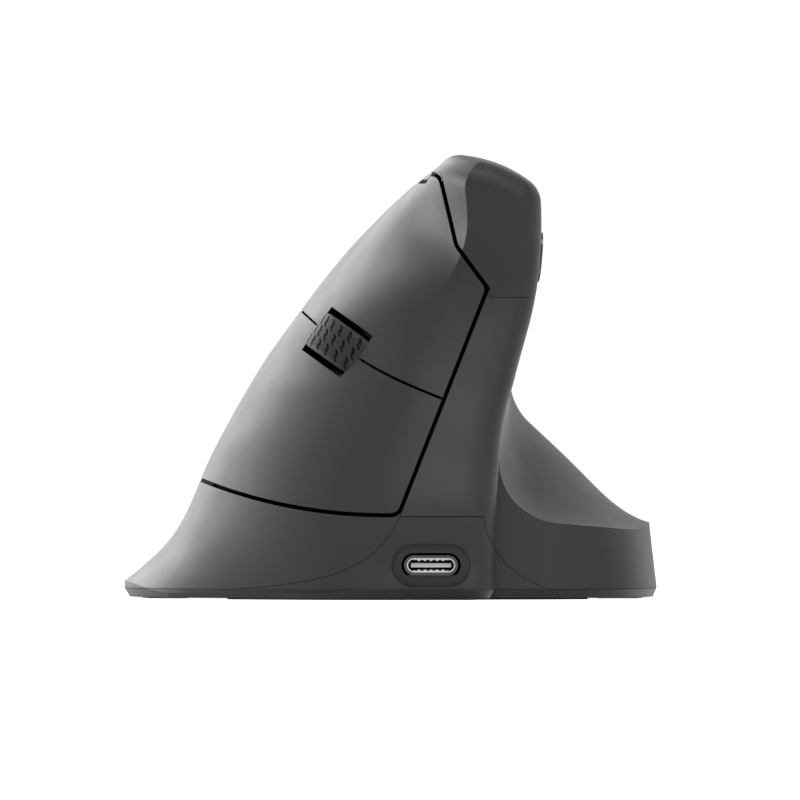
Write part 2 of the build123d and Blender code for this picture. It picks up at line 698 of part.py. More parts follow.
def wheel_tyre_solid():
    tyre = axle_rod(WHEEL_RADIUS, (-wheel_side, wheel_side))
    tyre = fillet(tyre.edges().filter_by(GeomType.CIRCLE), TYRE_SHOULDER)
    return tyre - axle_rod(HUB_RADIUS, (-WHEEL_WIDTH, WHEEL_WIDTH))


def wheel_hub_solid():
    hub = axle_rod(HUB_RADIUS, (-wheel_side, wheel_side))
    for side in (-1, 1):
        ends = sorted((side * HUB_WEB / 2, side * WHEEL_WIDTH))
        dish = axle_rod(HUB_RADIUS - HUB_RIM, ends) - axle_rod(HUB_BOSS_RADIUS, ends)
        hub = hub - dish
    reach = (HUB_RADIUS - HUB_RIM + HUB_BOSS_RADIUS) / 2
    for step in range(HUB_HOLES):
        angle = math.radians(step * 360 / HUB_HOLES)
        hub = hub - axle_rod(HUB_HOLE_RADIUS, (-WHEEL_WIDTH, WHEEL_WIDTH),
                             reach * math.cos(angle), reach * math.sin(angle))
    return hub - axle_rod(AXLE_RADIUS, (-WHEEL_WIDTH, WHEEL_WIDTH))


axle_ends = (-encoder_in - ENCODER_THICKNESS / 2, arm_out + FORK_GAP)
wheel_tyre = at_wheel(wheel_tyre_solid())
wheel_hub = at_wheel(wheel_hub_solid())
wheel_axle = at_wheel(axle_rod(AXLE_RADIUS, axle_ends))
axle_bore = axle_rod(AXLE_RADIUS + RUNNING_FIT, (axle_ends[0] - RUNNING_FIT, -2 * axle_ends[0]))

# Carrier: a fork that slides in when the wheel is pressed, with the encoder on its shelf
FOOT_TOP = -WHEEL_RADIUS - FORK_GAP
FOOT_UNDER = FOOT_TOP - FORK_FOOT
fork_x = (-FORK_LENGTH / 2, FORK_LENGTH / 2)
tab_under = BOARD_TOP + TACT_HEIGHT + TACT_STEM_PROUD + CONTACT_GAP
carrier = block(fork_x, (-arm_out, arm_out), (FOOT_UNDER, FOOT_TOP))
for side in (-1, 1):
    carrier = carrier + block(fork_x, sorted((side * arm_in, side * arm_out)), (FOOT_TOP, FORK_TOP))
carrier = carrier + block((-ENCODER_WIDTH / 2, ENCODER_WIDTH / 2), (-encoder_out, -arm_in),
                          (-ENCODER_HEIGHT / 2 - SHELF, -ENCODER_HEIGHT / 2))
carrier = carrier + block((CLICK_X - TACT_WIDTH / 2, fork_x[0] + FORK_ARM),
                          (arm_in, CLICK_Y + TACT_WIDTH / 2), (tab_under, tab_under + CLICK_TAB))
wheel_carrier = at_wheel(carrier - axle_bore)
encoder = block((-ENCODER_WIDTH / 2, ENCODER_WIDTH / 2), (-encoder_out, -encoder_in),
                (-ENCODER_HEIGHT / 2, ENCODER_HEIGHT / 2))
encoder = encoder - axle_rod(ENCODER_THICKNESS, (-encoder_out, -encoder_in - ENCODER_THICKNESS * 3 / 4))
wheel_encoder = at_wheel(encoder - axle_bore)


# Switches: a snap-action switch has a flat plunger, a small push switch a round stem
def snap_switch(x, y):
    switch = block((x - SWITCH_LENGTH / 2, x + SWITCH_LENGTH / 2),
                   (y - SWITCH_WIDTH / 2, y + SWITCH_WIDTH / 2), (BOARD_TOP, SWITCH_TOP))
    switch = chamfer(switch.edges().filter_by(Axis.Z), SEAM)
    long = PLUNGER_LENGTH / 2 + PLUNGER_FIT
    wide = PLUNGER_WIDTH / 2 + PLUNGER_FIT
    well = block((x - long, x + long), (y - wide, y + wide),
                 (SWITCH_TOP - 2 * PLUNGER_WELL, SWITCH_TOP + PLUNGER_WELL))
    return switch - well


def plunger(x, y):
    return block((x - PLUNGER_LENGTH / 2, x + PLUNGER_LENGTH / 2),
                 (y - PLUNGER_WIDTH / 2, y + PLUNGER_WIDTH / 2),
                 (SWITCH_TOP - PLUNGER_WELL, PLUNGER_TOP))


def push_switch():
    """Push switch standing on the XY plane, stem towards +Z."""
    switch = block((-TACT_WIDTH / 2, TACT_WIDTH / 2), (-TACT_WIDTH / 2, TACT_WIDTH / 2), (0, TACT_HEIGHT))
    switch = chamfer(switch.edges().filter_by(Axis.Z), SEAM)
    return switch - rod(TACT_STEM_RADIUS + PLUNGER_FIT, 0, 0,
                        (TACT_HEIGHT - 2 * TACT_WELL, TACT_HEIGHT + TACT_WELL))


def push_stem():
    return rod(TACT_STEM_RADIUS, 0, 0, (TACT_HEIGHT - TACT_WELL, TACT_HEIGHT + TACT_STEM_PROUD))


primary_switch = at_wheel(snap_switch(SWITCH_AHEAD, SWITCH_ASIDE))
secondary_switch = at_wheel(snap_switch(SWITCH_AHEAD, -SWITCH_ASIDE))
primary_plunger = at_wheel(plunger(SWITCH_AHEAD, SWITCH_ASIDE))
secondary_plunger = at_wheel(plunger(SWITCH_AHEAD, -SWITCH_ASIDE))
click_switch = at_wheel(Pos(CLICK_X, CLICK_Y, BOARD_TOP) * push_switch())
click_stem = at_wheel(Pos(CLICK_X, CLICK_Y, BOARD_TOP) * push_stem())

# Switch board on four posts of the inner frame
board_room = hull_body(WALL + SWITCH_BOARD_MARGIN)
post_places = [
    (-SWITCH_BOARD_BEHIND + BOARD_POST_RADIUS, -SWITCH_ASIDE),
    (-SWITCH_BOARD_BEHIND + BOARD_POST_RADIUS, SWITCH_ASIDE),
    (SWITCH_BOARD_AHEAD - 2 * BOARD_POST_RADIUS, -SWITCH_ASIDE),
    (SWITCH_BOARD_SLOT + 2 * BOARD_POST_RADIUS, SWITCH_WIDTH / 2),
]
board = block((-SWITCH_BOARD_BEHIND, SWITCH_BOARD_AHEAD), (-SWITCH_BOARD_DOWN, SWITCH_BOARD_UP),
              (BOARD_UNDER, BOARD_TOP))
board = board - block((-SWITCH_BOARD_SLOT, SWITCH_BOARD_SLOT), (-arm_out - FORK_GAP, arm_out + FORK_GAP),
                      (BOARD_UNDER - BOARD, BOARD_TOP + BOARD))
switch_board = biggest(at_wheel(board) & board_room)


def board_screw(x, y, top):
    """Screw through a board, its head on the board's top."""
    head = rod(BOARD_SCREW_HEAD_RADIUS, x, y, (top, top + BOARD_SCREW_HEAD))
    return head + rod(BOARD_SCREW_RADIUS, x, y, (top - BOARD_SCREW_LENGTH, top))


def board_screw_bore(x, y, top):
    return rod(BOARD_SCREW_RADIUS + SCREW_FIT, x, y,
               (top - BOARD_SCREW_LENGTH - SEAM, top + BOARD_SCREW_HEAD))


for x, y in post_places:
    switch_board = switch_board - at_wheel(board_screw_bore(x, y, BOARD_TOP))

# Inner frame: a plate across the fin on three legs, with a lug for each panel hinge
PLATE_TOP = -FRAME_DEPTH
PLATE_UNDER = PLATE_TOP - FRAME_PLATE
plate = block((-FRAME_BEHIND, FRAME_AHEAD), (-FRAME_DOWN, FRAME_UP), (PLATE_UNDER, PLATE_TOP))
inner_frame = at_wheel(plate) & inner_room
inner_frame = inner_frame & slab(2 * BODY_WIDTH, 2 * BODY_LENGTH, FRAME_FLOOR, 2 * BODY_HEIGHT)
under_plate = at_wheel(block((-BODY_LENGTH, BODY_LENGTH), (-BODY_LENGTH, BODY_LENGTH),
                             (-BODY_LENGTH, PLATE_TOP - FRAME_PLATE / 2)))
for x, y in FRAME_LEGS:
    leg = rod(FRAME_LEG_RADIUS, x, y, (FLOOR_TOP, BODY_HEIGHT))
    inner_frame = inner_frame + (leg & under_plate & inner_room)
for x, y in post_places:
    inner_frame = inner_frame + at_wheel(rod(BOARD_POST_RADIUS, x, y, (PLATE_TOP, BOARD_UNDER)))
    inner_frame = inner_frame - at_wheel(board_screw_bore(x, y, BOARD_TOP))
for side in (-1, 1):
    lug_y = (side * SWITCH_ASIDE - LUG_WIDTH / 2, side * SWITCH_ASIDE + LUG_WIDTH / 2)
    lug = block((-HINGE_BACK - KNUCKLE_RADIUS, -HINGE_BACK + KNUCKLE_RADIUS), lug_y,
                (PLATE_TOP, -HINGE_DEPTH))
    lug = lug + axle_rod(KNUCKLE_RADIUS, lug_y, -HINGE_BACK, -HINGE_DEPTH)
    lug = lug - axle_rod(HINGE_PIN_RADIUS, lug_y, -HINGE_BACK, -HINGE_DEPTH)
    rail_x = sorted((side * (fork_x[1] + RUNNING_FIT), side * (fork_x[1] + RUNNING_FIT + RAIL)))
    rail = block(rail_x, (-arm_out, arm_out), (PLATE_TOP, FOOT_TOP))
    inner_frame = inner_frame + at_wheel(lug) + at_wheel(rail)
pin_half = (HINGE_ASIDE + KNUCKLE_WIDTH / 2) / 2
hinge_pins = [
    at_wheel(axle_rod(HINGE_PIN_RADIUS, (side * SWITCH_ASIDE - pin_half, side * SWITCH_ASIDE + pin_half),
                      -HINGE_BACK, -HINGE_DEPTH))
    for side in (-1, 1)
]
board_screws = [at_wheel(board_screw(x, y, BOARD_TOP)) for x, y in post_places]


# Thumb side: two buttons through the top cap and their board
THUMB = Plane(origin=(0, 0, SIDE_BUTTON_UP), x_dir=(0, 1, 0), z_dir=(1, 0, 0))
button_step = SIDE_BUTTON_LENGTH + SIDE_BUTTON_SPACE
side_places = {"forward": SIDE_BUTTONS_Y - button_step / 2, "back": SIDE_BUTTONS_Y + button_step / 2}
proud_fin = fin(-SIDE_BUTTON_PROUD)
behind_flange = hull_body(WALL + SEAM + SIDE_FLANGE)


def side_prism(y, grow):
    """Rounded bar through the thumb side at the button's place."""
    bar = RectangleRounded(SIDE_BUTTON_LENGTH + 2 * grow, SIDE_BUTTON_HEIGHT + 2 * grow,
                           SIDE_BUTTON_CORNER + grow)
    return THUMB.location * Pos(y, 0, SIDE_BOARD_X) * extrude(bar, BODY_WIDTH / 2)


def side_button(y):
    cap_part = side_prism(y, 0) & proud_fin
    cap_part = cap_part - behind_flange
    flange = side_prism(y, SIDE_LIP) & inner_room
    flange = flange - behind_flange
    stem_top = SIDE_BOARD_X + THIN_BOARD + TACT_HEIGHT + TACT_STEM_PROUD
    post = Pos(y, 0, 0) * rod(PRESSER_RADIUS, 0, 0, (stem_top + CONTACT_GAP, BODY_WIDTH / 2))
    post = (THUMB.location * post) & inner_room
    return biggest(cap_part + flange + post)


forward_button = side_button(side_places["forward"])
back_button = side_button(side_places["back"])
half_row = button_step + SIDE_POST_PAST
side_posts = [SIDE_BUTTONS_Y - half_row, SIDE_BUTTONS_Y + half_row]
row = (side_posts[0] - SIDE_POST_RADIUS, side_posts[1] + SIDE_POST_RADIUS)
side_board = block((SIDE_BOARD_X, SIDE_BOARD_X + THIN_BOARD), row,
                   (SIDE_BUTTON_UP - SIDE_BOARD_HEIGHT / 2, SIDE_BUTTON_UP + SIDE_BOARD_HEIGHT / 2))
side_board = side_board & inner_room
for y in side_places.values():
    top_cap = top_cap - side_prism(y, SIDE_BUTTON_GAP)
for y in side_posts:
    post = THUMB.location * rod(SIDE_POST_RADIUS, y, 0, (SIDE_BOARD_X + THIN_BOARD, BODY_WIDTH / 2))
    top_cap = top_cap + (post & inside_panel)
ON_SIDE_BOARD = SIDE_BOARD_X + THIN_BOARD
side_parts = {}
for name, y in side_places.items():
    side_parts[name + "_switch"] = THUMB.location * Pos(y, 0, ON_SIDE_BOARD) * push_switch()
    side_parts[name + "_stem"] = THUMB.location * Pos(y, 0, ON_SIDE_BOARD) * push_stem()

# Charging port in the arch of the bottom case
port_sight = Axis((PORT_X, front, PORT_UP), (0, 1, 0))
port_face = body.find_intersection_points(port_sight)[0][0].Y


def pill(width, height, near, far):
    """Rounded bar along the length at the port."""
    shape = Plane(origin=(PORT_X, near, PORT_UP), x_dir=(1, 0, 0), z_dir=(0, 1, 0))
    return extrude(shape * SlotOverall(width, height), far - near)


port_front = port_face + PORT_RECESS_DEPTH + PORT_SETBACK
port_back = port_front + PORT_SHELL_DEPTH
pad_back = port_face + PORT_PAD
pad = pill(PORT_RECESS_WIDTH, PORT_RECESS_HEIGHT, port_face + WALL / 2, pad_back)
bottom_case = bottom_case + (pad & body)
bottom_case = bottom_case - pill(PORT_RECESS_WIDTH, PORT_RECESS_HEIGHT, front,
                                 port_face + PORT_RECESS_DEPTH)
bottom_case = bottom_case - pill(PORT_CASE_WIDTH, PORT_CASE_HEIGHT, front, pad_back + WALL)
usb_shell = pill(PORT_SHELL_WIDTH, PORT_SHELL_HEIGHT, port_front, port_back)
port_inside = (PORT_SHELL_WIDTH - 2 * PORT_SHEET, PORT_SHELL_HEIGHT - 2 * PORT_SHEET)
usb_shell = usb_shell - pill(*port_inside, front, back)
usb_tongue = pill(*port_inside, port_back - PORT_BACKING, port_back)
usb_tongue = usb_tongue + block(
    (PORT_X - TONGUE_WIDTH / 2, PORT_X + TONGUE_WIDTH / 2), (port_front + TONGUE_SETBACK, port_back),
    (PORT_UP - TONGUE_THICKNESS / 2, PORT_UP + TONGUE_THICKNESS / 2))
PORT_BOARD_TOP = PORT_UP - PORT_SHELL_HEIGHT / 2
port_board_y = (pad_back + SEAM, pad_back + SEAM + PORT_BOARD_LENGTH)
port_board = block((PORT_X - PORT_BOARD_WIDTH / 2, PORT_X + PORT_BOARD_WIDTH / 2), port_board_y,
                   (PORT_BOARD_TOP - THIN_BOARD, PORT_BOARD_TOP)) & inner_room
port_posts = [(PORT_X - PORT_BOARD_WIDTH / 3, port_board_y[1] - MAIN_POST_INSET),
              (PORT_X + PORT_BOARD_WIDTH / 3, port_board_y[1] - MAIN_POST_INSET)]

# Main board with the optical sensor looking through the floor, and the battery behind it
main_x = (MAIN_BOARD_X - MAIN_BOARD_WIDTH / 2, MAIN_BOARD_X + MAIN_BOARD_WIDTH / 2)
main_y = (MAIN_BOARD_Y - MAIN_BOARD_LENGTH / 2, MAIN_BOARD_Y + MAIN_BOARD_LENGTH / 2)
MAIN_TOP = MAIN_BOARD_UP + BOARD
main_board = block(main_x, main_y, (MAIN_BOARD_UP, MAIN_TOP))
main_board = main_board - rod(LIGHT_HOLE_RADIUS, MAIN_BOARD_X, SENSOR_Y, (0, BODY_HEIGHT))
main_posts = [(x, y) for x in (main_x[0] + MAIN_POST_INSET, main_x[1] - MAIN_POST_INSET)
              for y in (main_y[0] + MAIN_POST_INSET, main_y[1] - MAIN_POST_INSET)]
for x, y in main_posts:
    bottom_case = bottom_case + rod(MAIN_POST_RADIUS, x, y, (FLOOR_TOP, MAIN_BOARD_UP))
    bottom_case = bottom_case - board_screw_bore(x, y, MAIN_TOP)
    main_board = main_board - board_screw_bore(x, y, MAIN_TOP)
    board_screws.append(board_screw(x, y, MAIN_TOP))
for x, y in port_posts:
    bottom_case = bottom_case + rod(MAIN_POST_RADIUS, x, y, (FLOOR_TOP, PORT_BOARD_TOP - THIN_BOARD))
optical_sensor = block((MAIN_BOARD_X - SENSOR_SIDE / 2, MAIN_BOARD_X + SENSOR_SIDE / 2),
                       (SENSOR_Y - SENSOR_SIDE / 2, SENSOR_Y + SENSOR_SIDE / 2),
                       (MAIN_TOP, MAIN_TOP + SENSOR_HEIGHT))
window = (MAIN_BOARD_X - WINDOW_WIDTH / 2, MAIN_BOARD_X + WINDOW_WIDTH / 2)
window_y = (SENSOR_Y - WINDOW_LENGTH / 2, SENSOR_Y + WINDOW_LENGTH / 2)
sensor_lens = block((MAIN_BOARD_X - LENS_WIDTH / 2, MAIN_BOARD_X + LENS_WIDTH / 2),
                    (SENSOR_Y - LENS_LENGTH / 2, SENSOR_Y + LENS_LENGTH / 2),
                    (FLOOR_TOP, FLOOR_TOP + LENS_FLANGE))
sensor_lens = sensor_lens + rod(LENS_BARREL_RADIUS, MAIN_BOARD_X, SENSOR_Y, (FLOOR_TOP, MAIN_BOARD_UP))
sensor_lens = sensor_lens + block(
    (window[0] + SEAM, window[1] - SEAM), (window_y[0] + SEAM, window_y[1] - SEAM),
    (CASE_BOTTOM + LENS_FLANGE / 2, FLOOR_TOP))
bottom_case = bottom_case - block(window, window_y, (0, FLOOR_TOP))
module_y = main_y[1] - 2 * MAIN_POST_INSET - MODULE_WIDTH
wireless_module = block((MAIN_BOARD_X - MODULE_LENGTH / 2, MAIN_BOARD_X + MODULE_LENGTH / 2),
                        (module_y, module_y + MODULE_WIDTH), (MAIN_TOP, MAIN_TOP + MODULE_HEIGHT))
wireless_module = fillet(wireless_module.edges().filter_by(Axis.Z), STEP)
battery_z = (FLOOR_TOP + STICKY_GAP, FLOOR_TOP + STICKY_GAP + BATTERY_THICKNESS)
battery = block((BATTERY_X - BATTERY_WIDTH / 2, BATTERY_X + BATTERY_WIDTH / 2),
                (BATTERY_Y - BATTERY_LENGTH / 2, BATTERY_Y + BATTERY_LENGTH / 2), battery_z)
battery = fillet(battery.edges().filter_by(Axis.Y), BATTERY_ROUND)

# Slider and pairing button in the floor, with their switches under the main board
SUNK = CASE_BOTTOM + SLIDER_SUNK
slider_y = (SLIDER_Y - SLIDER_LENGTH / 2, SLIDER_Y + SLIDER_LENGTH / 2)
slider_x = (SLIDER_X - SLIDER_WIDTH / 2, SLIDER_X + SLIDER_WIDTH / 2)
flange_z = (FLOOR_TOP + STICKY_GAP, FLOOR_TOP + STICKY_GAP + STEP)
bottom_case = bottom_case - block(
    (slider_x[0] - SLIDER_FIT, slider_x[1] + SLIDER_FIT),
    (slider_y[0] - SLIDER_FIT, slider_y[1] + SLIDER_TRAVEL + SLIDER_FIT), (0, FLOOR_TOP))
mode_switch_under = MAIN_BOARD_UP - MODE_SWITCH_HEIGHT
mode_slider = block(slider_x, slider_y, (SUNK, flange_z[1]))
mode_slider = mode_slider + block((slider_x[0] - STEP, slider_x[1] + STEP),
                                  (slider_y[0] - STEP, slider_y[1] + STEP), flange_z)
mode_slider = mode_slider + rod(STALK_RADIUS, SLIDER_X, SLIDER_Y, (SUNK, mode_switch_under - SEAM))
mode_switch = block(slider_x, (slider_y[0], slider_y[1] + SLIDER_TRAVEL), (mode_switch_under, MAIN_BOARD_UP))
bottom_case = bottom_case - rod(PAIR_RADIUS + SLIDER_FIT, PAIR_X, PAIR_Y, (0, FLOOR_TOP))
pair_stem_under = MAIN_BOARD_UP - TACT_HEIGHT - TACT_STEM_PROUD
pairing_button = rod(PAIR_RADIUS, PAIR_X, PAIR_Y, (SUNK, pair_stem_under - CONTACT_GAP))
pairing_button = pairing_button + rod(PAIR_RADIUS + STEP, PAIR_X, PAIR_Y, flange_z)
under_main = Pos(PAIR_X, PAIR_Y, MAIN_BOARD_UP) * Rot(180, 0, 0)
pairing_switch = under_main * push_switch()
pairing_stem = under_main * push_stem()

# Glides that follow the edge of the footprint, sunk into the floor
glide_sheet = footprint(GLIDE_INSET, GLIDE_INSET, 0, GLIDE)
glide_z = (-GLIDE, 2 * GLIDE)


def glide(inward, x, y):
    """Band along the edge of the footprint that faces away from the inward direction."""
    shifted = Pos(*(inward * GLIDE_WIDTH)) * glide_sheet
    return biggest((glide_sheet - shifted) & block(x, y, glide_z))


glides = {
    "front_glide": glide(Vector(0, 1, 0), GLIDE_FRONT_X, (-BODY_LENGTH, 0)),
    "rear_glide": glide(Vector(0, -1, 0), GLIDE_REAR_X, (0, BODY_LENGTH)),
    "left_glide": glide(Vector(1, 0, 0), (-BODY_WIDTH, 0), GLIDE_SIDE_Y),
    "right_glide": glide(Vector(-1, 0, 0), (0, BODY_WIDTH), GLIDE_SIDE_Y),
}
for glide in glides.values():
    bottom_case = bottom_case - glide

# Screws from below into bosses of the two side shells
head_under = CASE_BOTTOM + SEAM
head_top = head_under + CASE_SCREW_HEAD
case_screws = []


def screw_boss(x, y):
    """Boss from above the floor up to the inside of the shell."""
    return rod(BOSS_RADIUS, x, y, (FLOOR_TOP, BODY_HEIGHT)) & inside_panel


def screw_bore(x, y):
    return rod(CASE_SCREW_RADIUS + SCREW_FIT, x, y, (0, head_top + CASE_SCREW_LENGTH + SEAM))


for x, y in CASE_SCREWS_PALM:
    palm_shell = palm_shell + screw_boss(x, y) - screw_bore(x, y)
for x, y in CASE_SCREWS_THUMB:
    thumb_shell = thumb_shell + screw_boss(x, y) - screw_bore(x, y)
for x, y in CASE_SCREWS_PALM + CASE_SCREWS_THUMB:
    bottom_case = bottom_case - screw_bore(x, y)
    bottom_case = bottom_case - rod(CASE_SCREW_HEAD_RADIUS + SCREW_FIT, x, y, (0, head_top))
    head = rod(CASE_SCREW_HEAD_RADIUS, x, y, (head_under, head_top))
    case_screws.append(head + rod(CASE_SCREW_RADIUS, x, y, (head_under, head_top + CASE_SCREW_LENGTH)))

NODES = {
    "bottom_case": bottom_case,
    "palm_shell": palm_shell,
    "thumb_shell": thumb_shell,
    "top_cap": top_cap,
    "primary_button": primary_button,
    "secondary_button": secondary_button,
    "forward_button": forward_button,
    "back_button": back_button,
    "wheel_tyre": wheel_tyre,
    "wheel_hub": wheel_hub,
    "wheel_axle": wheel_axle,
    "wheel_carrier": wheel_carrier,
    "wheel_encoder": wheel_encoder,
    "inner_frame": inner_frame,
    "hinge_pins": Compound(hinge_pins),
    "switch_board": switch_board,
    "primary_switch": primary_switch,
    "secondary_switch": secondary_switch,
    "primary_plunger": primary_plunger,
    "secondary_plunger": secondary_plunger,
    "click_switch": click_switch,
    "click_stem": click_stem,
    "side_board": side_board,
    "usb_shell": usb_shell,
    "usb_tongue": usb_tongue,
    "port_board": port_board,
    "main_board": main_board,
    "optical_sensor": optical_sensor,
    "sensor_lens": sensor_lens,
    "wireless_module": wireless_module,
    "battery": battery,
    "mode_slider": mode_slider,
    "mode_switch": mode_switch,
    "pairing_button": pairing_button,
    "pairing_switch": pairing_switch,
    "pairing_stem": pairing_stem,
    "case_screws": Compound(case_screws),
    "board_screws": Compound(board_screws),
    **side_parts,
    **glides,
}

os.makedirs("parts", exist_ok=True)
for name, node in NODES.items():
    export_step(node, "parts/" + name + ".step")
print("wheel centre", wheel_centre, "ahead", ahead_way, "axle", axle_way, "out", outward_way)
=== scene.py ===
import json
import math

import bmesh
import bpy
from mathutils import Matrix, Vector
from mathutils.bvhtree import BVHTree


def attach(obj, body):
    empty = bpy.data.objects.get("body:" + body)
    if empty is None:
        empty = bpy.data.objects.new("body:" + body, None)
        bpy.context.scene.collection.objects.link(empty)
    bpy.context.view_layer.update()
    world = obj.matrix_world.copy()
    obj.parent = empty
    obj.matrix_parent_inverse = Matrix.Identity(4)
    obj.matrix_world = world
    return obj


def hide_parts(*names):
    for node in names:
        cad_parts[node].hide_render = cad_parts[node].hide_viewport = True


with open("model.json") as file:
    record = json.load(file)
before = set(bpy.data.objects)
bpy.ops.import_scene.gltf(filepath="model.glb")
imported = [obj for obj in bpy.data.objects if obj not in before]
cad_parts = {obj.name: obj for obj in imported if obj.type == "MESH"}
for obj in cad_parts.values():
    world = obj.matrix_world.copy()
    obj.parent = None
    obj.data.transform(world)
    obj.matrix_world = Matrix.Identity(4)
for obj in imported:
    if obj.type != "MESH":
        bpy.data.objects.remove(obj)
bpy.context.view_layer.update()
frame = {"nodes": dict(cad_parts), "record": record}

MM = 0.001
nodes = frame["nodes"]
joints = {joint["name"]: joint for joint in frame["record"]["behaviour"]["joints"]}


# Materials
# Depth of each relief
GRAIN_DEPTH, RIPPLE_DEPTH = 0.08 * MM, 0.2 * MM
STREAK_DEPTH, TRACK_DEPTH, LENS_DEPTH = 0.05 * MM, 0.03 * MM, 0.05 * MM
# Features to the metre
CLOUDS, GLOSS_PATCHES, RIPPLES = 45, 160, 300
TARNISH, STREAKS, TRACKS, MASK_PATCHES = 120, 900, 420, 300
LENS_CLOUDS, LENS_PATCHES, LENS_RIPPLES = 200, 400, 500
# Strength of the ripples as a share of the grain's
RIPPLE_SHARE = 0.4
# Places on the noise that take the darker and the lighter tone
TONE_LOW, TONE_HIGH = 0.3, 0.7


def new_material(name):
    """Material with a plain shader, and object coordinates for its textures."""
    material = bpy.data.materials.new(name)
    material.use_nodes = True
    tree = material.node_tree
    tree.nodes.clear()
    output = tree.nodes.new("ShaderNodeOutputMaterial")
    shader = tree.nodes.new("ShaderNodeBsdfPrincipled")
    tree.links.new(shader.outputs["BSDF"], output.inputs["Surface"])
    coords = tree.nodes.new("ShaderNodeTexCoord")
    return material, tree, shader, coords


def noise(tree, coords, scale, detail=3.0):
    """Noise from 0 to 1, with scale features to the metre."""
    node = tree.nodes.new("ShaderNodeTexNoise")
    node.inputs["Scale"].default_value = scale
    node.inputs["Detail"].default_value = detail
    tree.links.new(coords.outputs["Object"], node.inputs["Vector"])
    return node.outputs["Fac"]


def ramp(tree, value, stops):
    """Colour that runs between stops of (position, colour)."""
    node = tree.nodes.new("ShaderNodeValToRGB")
    elements = node.color_ramp.elements
    while len(elements) < len(stops):
        elements.new(0.5)
    for element, (position, colour) in zip(elements, stops):
        element.position = position
        element.color = (*colour, 1.0)
    tree.links.new(value, node.inputs["Fac"])
    return node.outputs["Color"]


def ranged(tree, value, low, high):
    """Value from 0 to 1 stretched to run from low to high."""
    node = tree.nodes.new("ShaderNodeMapRange")
    node.inputs["To Min"].default_value = low
    node.inputs["To Max"].default_value = high
    tree.links.new(value, node.inputs["Value"])
    return node.outputs["Result"]


def bump(tree, heights, shader):
    """Chains (height socket, strength, distance) into the shader's normal."""
    normal = None
    for height, strength, distance in heights:
        node = tree.nodes.new("ShaderNodeBump")
        node.inputs["Strength"].default_value = strength
        node.inputs["Distance"].default_value = distance
        tree.links.new(height, node.inputs["Height"])
        if normal is not None:
            tree.links.new(normal, node.inputs["Normal"])
        normal = node.outputs["Normal"]
    tree.links.new(normal, shader.inputs["Normal"])


def scaled(colour, factor):
    """Colour made lighter or darker, at most white."""
    return tuple(min(1.0, c * factor) for c in colour)


def moulded(name, colour, rough=(0.42, 0.55), grain=2600, strength=0.12, mottle=0.08,
            specular=0.28):
    """Moulded plastic or rubber: cloudy tone, uneven gloss and a fine spark-eroded grain."""
    material, tree, shader, coords = new_material(name)
    cloud = noise(tree, coords, CLOUDS, 4.0)
    fine = noise(tree, coords, grain, 2.0)
    tones = [(TONE_LOW, scaled(colour, 1 - mottle)), (TONE_HIGH, scaled(colour, 1 + mottle))]
    tree.links.new(ramp(tree, cloud, tones), shader.inputs["Base Color"])
    gloss = noise(tree, coords, GLOSS_PATCHES, 4.0)
    tree.links.new(ranged(tree, gloss, *rough), shader.inputs["Roughness"])
    shader.inputs["Specular IOR Level"].default_value = specular
    ripple = noise(tree, coords, RIPPLES, 2.0)
    bump(tree, [(fine, strength, GRAIN_DEPTH),
                (ripple, strength * RIPPLE_SHARE, RIPPLE_DEPTH)], shader)
    return material


def based(name, colour, low_colour, level, axis="Z"):
    """Moulded plastic that is of another colour below a level along one axis."""
    material = moulded(name, colour)
    tree = material.node_tree
    shader = next(node for node in tree.nodes if node.type == "BSDF_PRINCIPLED")
    coords = next(node for node in tree.nodes if node.type == "TEX_COORD")
    upper = shader.inputs["Base Color"].links[0].from_socket
    split = tree.nodes.new("ShaderNodeSeparateXYZ")
    tree.links.new(coords.outputs["Object"], split.inputs["Vector"])
    above = tree.nodes.new("ShaderNodeMath")
    above.operation = "GREATER_THAN"
    above.inputs[1].default_value = level
    tree.links.new(split.outputs[axis], above.inputs[0])
    mix = tree.nodes.new("ShaderNodeMix")
    mix.data_type = "RGBA"
    mix.inputs["A"].default_value = (*low_colour, 1.0)
    tree.links.new(above.outputs["Value"], mix.inputs["Factor"])
    tree.links.new(upper, mix.inputs["B"])
    tree.links.new(mix.outputs["Result"], shader.inputs["Base Color"])
    return material


def metal(name, colour, rough=(0.18, 0.32), brushed=(1.0, 1.0, 14.0)):
    """Sheet metal with fine streaks along the stretched axis."""
    material, tree, shader, coords = new_material(name)
    mapping = tree.nodes.new("ShaderNodeMapping")
    mapping.inputs["Scale"].default_value = brushed
    tree.links.new(coords.outputs["Object"], mapping.inputs["Vector"])
    streak = tree.nodes.new("ShaderNodeTexNoise")
    streak.inputs["Scale"].default_value = STREAKS
    tree.links.new(mapping.outputs["Vector"], streak.inputs["Vector"])
    tones = [(TONE_LOW, scaled(colour, 0.9)), (TONE_HIGH, scaled(colour, 1.05))]
    tree.links.new(ramp(tree, noise(tree, coords, TARNISH), tones), shader.inputs["Base Color"])
    tree.links.new(ranged(tree, streak.outputs["Fac"], *rough), shader.inputs["Roughness"])
    shader.inputs["Metallic"].default_value = 1.0
    bump(tree, [(streak.outputs["Fac"], 0.08, STREAK_DEPTH)], shader)
    return material


